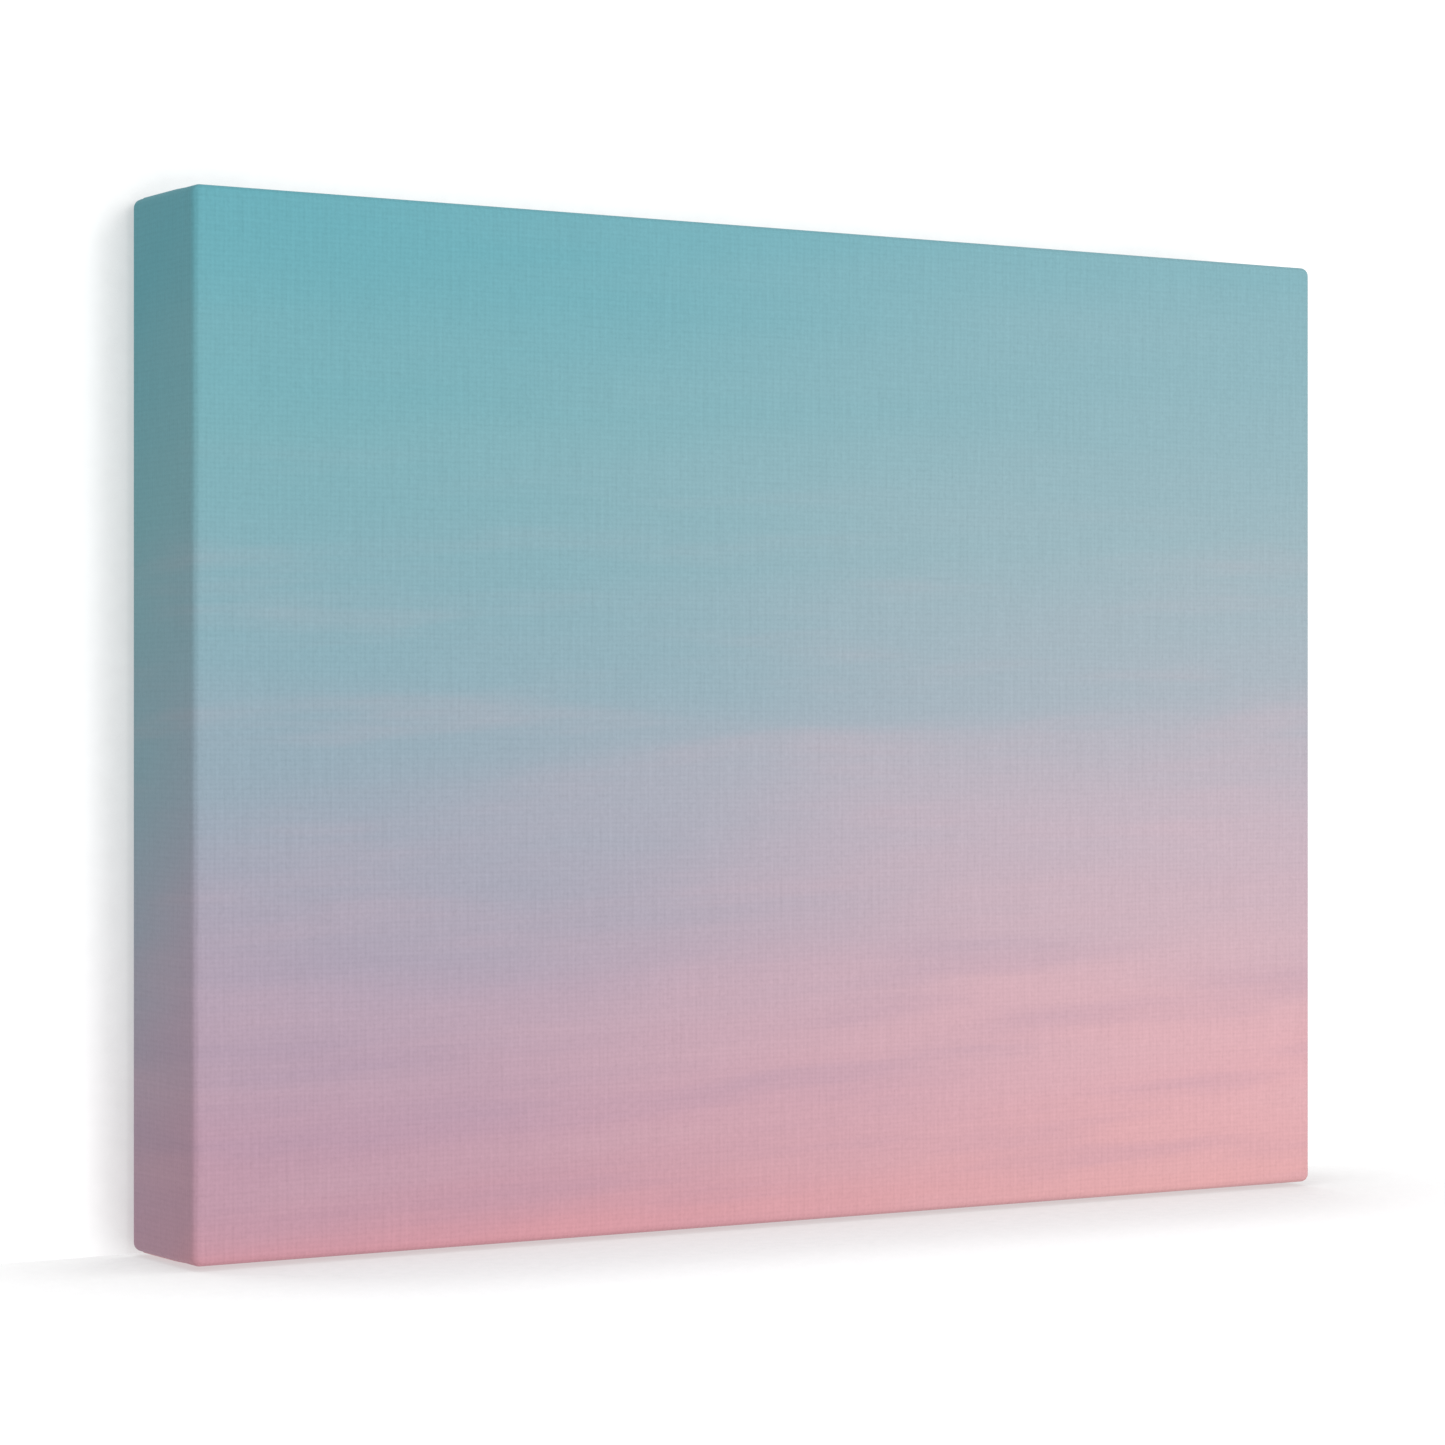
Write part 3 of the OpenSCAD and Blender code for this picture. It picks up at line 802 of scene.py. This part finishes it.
def rubber_look():
    """Matt black rubber with moulding grain and a little dust."""
    look = Look("bumper_rubber_look")
    place = look.object_place()
    grain = look.noise(place, 4000.0, 2.0)
    dust = look.fade(look.noise(place, 500.0, 4.0, 0.7), 0.45, 0.8)
    base = look.mix(look.times(dust, 0.5), colour("#1B1B1C"), colour("#55524D"))
    rough = look.sum(look.times(dust, 0.2), look.times(grain, 0.15), 0.55)
    return look.finish(Base_Color=base, Roughness=rough, Normal=look.bump(grain, 0.04 * MM))


def dress(node, material, bevel):
    """Gives a CAD node its material and rounds its edges a little."""
    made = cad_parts[node]
    made.data.materials.clear()
    made.data.materials.append(material)
    weld = made.modifiers.new("weld", "WELD")
    weld.merge_threshold = CAD_WELD
    rounding = made.modifiers.new("rounding", "BEVEL")
    rounding.width = bevel
    rounding.segments = 2
    rounding.limit_method = "ANGLE"
    rounding.angle_limit = math.radians(35)
    rounding.harden_normals = True


PINE = ("#EAD3AB", "#B98A55", 2.3 * MM, 0.75)  # pale, dark, width and strength of a growth ring
BEECH = ("#DDB98F", "#A87B50", 1.6 * MM, 0.3)


def dress_frame():
    """Materials for everything but the cloth, and how far each piece's edges are rounded."""
    for number, (side, axis) in enumerate(zip(SIDES, "XZXZ")):
        dress(f"stretcher_bar_{side}", wood_look(f"pine_{side}", axis, *PINE, number + 1), 0.35 * MM)
    beech = {
        "across": wood_look("beech_across", "X", *BEECH, 5),
        "upright": wood_look("beech_upright", "Z", *BEECH, 6),
    }
    for node in KEYS:
        dress(node, beech[node.rsplit("_", 1)[1]], 0.2 * MM)
    wire = metal_look("galvanised_wire", "#DADCDE", "#9EA1A5", "X", 0.26)
    for node in STAPLES:
        dress(node, wire, 0.12 * MM)
    dress("sawtooth_hanger", metal_look("brassed_plate", "#E0CB93", "#A9905A", "X", 0.24), 0.1 * MM)
    dress("hanger_nails", metal_look("drawn_steel", "#D2D2D4", "#8C8D91", "Z", 0.25), 0.1 * MM)
    rubber = rubber_look()
    for node in BUMPERS:
        dress(node, rubber, 0.3 * MM)


# ---- The object ----

cloth, cut_edge = make_cloth()
cloth.data.materials.append(canvas_look())
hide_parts("canvas_sheet")
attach(cloth, ROOT_BODY)

threads = make_threads(cut_edge)
threads.data.materials.append(thread_look())
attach(threads, ROOT_BODY)

dress_frame()

# ---- Floor, wall, light and camera ----

STAGE_REACH = 4.0
FLOOR_GAP, WALL_GAP = 0.02 * MM, 0.2 * MM  # so that neither lies in one plane with the canvas
FLOOR_GREY, FLOOR_GLOW, FLOOR_SHADE_REACH = "#959595", 0.78, 80 * MM
WALL_GREY, WALL_GLOW, WALL_SHADE_REACH = "#B3B3B3", 0.64, 12 * MM
STAGE_SPECKLE = "#FFFFFF"
# The painted contact shadow on the floor and wall never dims their glow below this share
DEEPEST_SHADE = 0.62  # the share of its glow that the floor keeps in the narrow gap under the canvas

FILL_STRENGTH = 0.65  # light from all round
LAMP_PLACE = (0.3, -2.4, 0.7)
LAMP_SIZE = 1.4
LAMP_POWER = 29.2

CAMERA_TURN = math.radians(31.91)  # how far round to the canvas's left it stands
CAMERA_DISTANCE = 0.940
CAMERA_ASIDE = 0.018  # how far to the left of the canvas's middle it looks
CAMERA_HEIGHT = 0.1164
SENSOR_WIDTH, FOCAL_LENGTH = 36.0, 101.2  # both in millimetres


def plain_plane(name, corners, grey, glow, shade_reach):
    """A flat white stage piece that only the camera sees, so it throws no light on the canvas.

    Its glow holds a painted contact shadow: an occlusion node dims it softly within shade_reach of the
    canvas. It also darkens where the canvas shades it. From behind or below it is clear.
    """
    made = add_mesh(name, corners, [(0, 1, 2, 3)])
    look = Look(name + "_look")
    speckle = look.noise(look.object_place(), 300.0, 3.0)
    # Painted contact shadow: an occlusion node dims the glow near the canvas
    painted_contact_shade = look.add("ShaderNodeAmbientOcclusion", samples=4)
    look.put(painted_contact_shade.inputs["Distance"], shade_reach)
    glow_under_painted_shade = look.math("MAXIMUM", painted_contact_shade.outputs["AO"], DEEPEST_SHADE)
    look.finish(
        Base_Color=look.mix(look.times(speckle, 0.15), colour(grey), colour(STAGE_SPECKLE)),
        Roughness=0.9,
        Normal=look.bump(speckle, 0.02 * MM),
        Emission_Color=(1, 1, 1, 1),
        Emission_Strength=look.times(glow_under_painted_shade, glow),
    )
    clear = look.add("ShaderNodeBsdfTransparent").outputs[0]
    behind = look.add("ShaderNodeNewGeometry").outputs["Backfacing"]
    seen = look.add("ShaderNodeMixShader", behind, look.shader.outputs[0], clear).outputs[0]
    look.links.new(seen, look.nodes["Material Output"].inputs["Surface"])
    made.data.materials.append(look.material)
    for way in ("diffuse", "glossy", "transmission", "shadow"):
        setattr(made, f"visible_{way}", False)


def make_stage():
    """A white floor under the canvas, and a white wall behind it."""
    far, low, back = STAGE_REACH, cad_box[0].z - FLOOR_GAP, cad_box[1].y + WALL_GAP
    floor_corners = [(-far, -far, low), (far, -far, low), (far, far, low), (-far, far, low)]
    plain_plane("studio_floor", floor_corners, FLOOR_GREY, FLOOR_GLOW, FLOOR_SHADE_REACH)
    wall_corners = [(-far, back, low), (far, back, low), (far, back, far), (-far, back, far)]
    plain_plane("studio_wall", wall_corners, WALL_GREY, WALL_GLOW, WALL_SHADE_REACH)


def area_light(name, place, target, size, power):
    lamp = bpy.data.lights.new(name, "AREA")
    lamp.size = size
    lamp.energy = power
    made = bpy.data.objects.new(name, lamp)
    bpy.context.scene.collection.objects.link(made)
    made.location = place
    aim = [t - p for t, p in zip(target, place)]
    made.rotation_euler = look_along(aim)
    made.visible_camera = False


def look_along(aim):
    """The turn that points a lamp's own -Z along aim, with its top upwards."""
    level = math.hypot(aim[0], aim[1])
    return (math.pi / 2 + math.atan2(aim[2], level), 0.0, math.atan2(-aim[0], aim[1]))


def make_light():
    """White all round, with one large soft lamp in front and to the right."""
    world = bpy.data.worlds.new("studio")
    bpy.context.scene.world = world
    world.use_nodes = True
    nodes, links = world.node_tree.nodes, world.node_tree.links
    seen = nodes["Background"]
    seen.inputs["Color"].default_value = (1, 1, 1, 1)
    seen.inputs["Strength"].default_value = 1.0
    given = nodes.new("ShaderNodeBackground")
    given.inputs["Color"].default_value = (1, 1, 1, 1)
    given.inputs["Strength"].default_value = FILL_STRENGTH
    path = nodes.new("ShaderNodeLightPath")
    mixed = nodes.new("ShaderNodeMixShader")
    links.new(path.outputs["Is Camera Ray"], mixed.inputs[0])
    links.new(given.outputs[0], mixed.inputs[1])
    links.new(seen.outputs[0], mixed.inputs[2])
    links.new(mixed.outputs[0], nodes["World Output"].inputs["Surface"])
    area_light("key_lamp", LAMP_PLACE, (0.0, 0.0, MID_Z), LAMP_SIZE, LAMP_POWER)


def make_camera():
    """Level with the middle of the canvas and turned to its left side."""
    turn = CAMERA_TURN
    lens = bpy.data.cameras.new("photo_camera")
    lens.sensor_width = SENSOR_WIDTH
    lens.lens = FOCAL_LENGTH
    made = bpy.data.objects.new("photo_camera", lens)
    bpy.context.scene.collection.objects.link(made)
    forward = (math.sin(turn), math.cos(turn))
    right = (math.cos(turn), -math.sin(turn))
    made.location = (
        -forward[0] * CAMERA_DISTANCE - right[0] * CAMERA_ASIDE,
        CLOTH_FRONT - forward[1] * CAMERA_DISTANCE - right[1] * CAMERA_ASIDE,
        CAMERA_HEIGHT,
    )
    made.rotation_euler = (math.pi / 2, 0.0, -turn)
    bpy.context.scene.camera = made


make_stage()
make_light()
make_camera()
bpy.context.scene.view_settings.view_transform = "Standard"
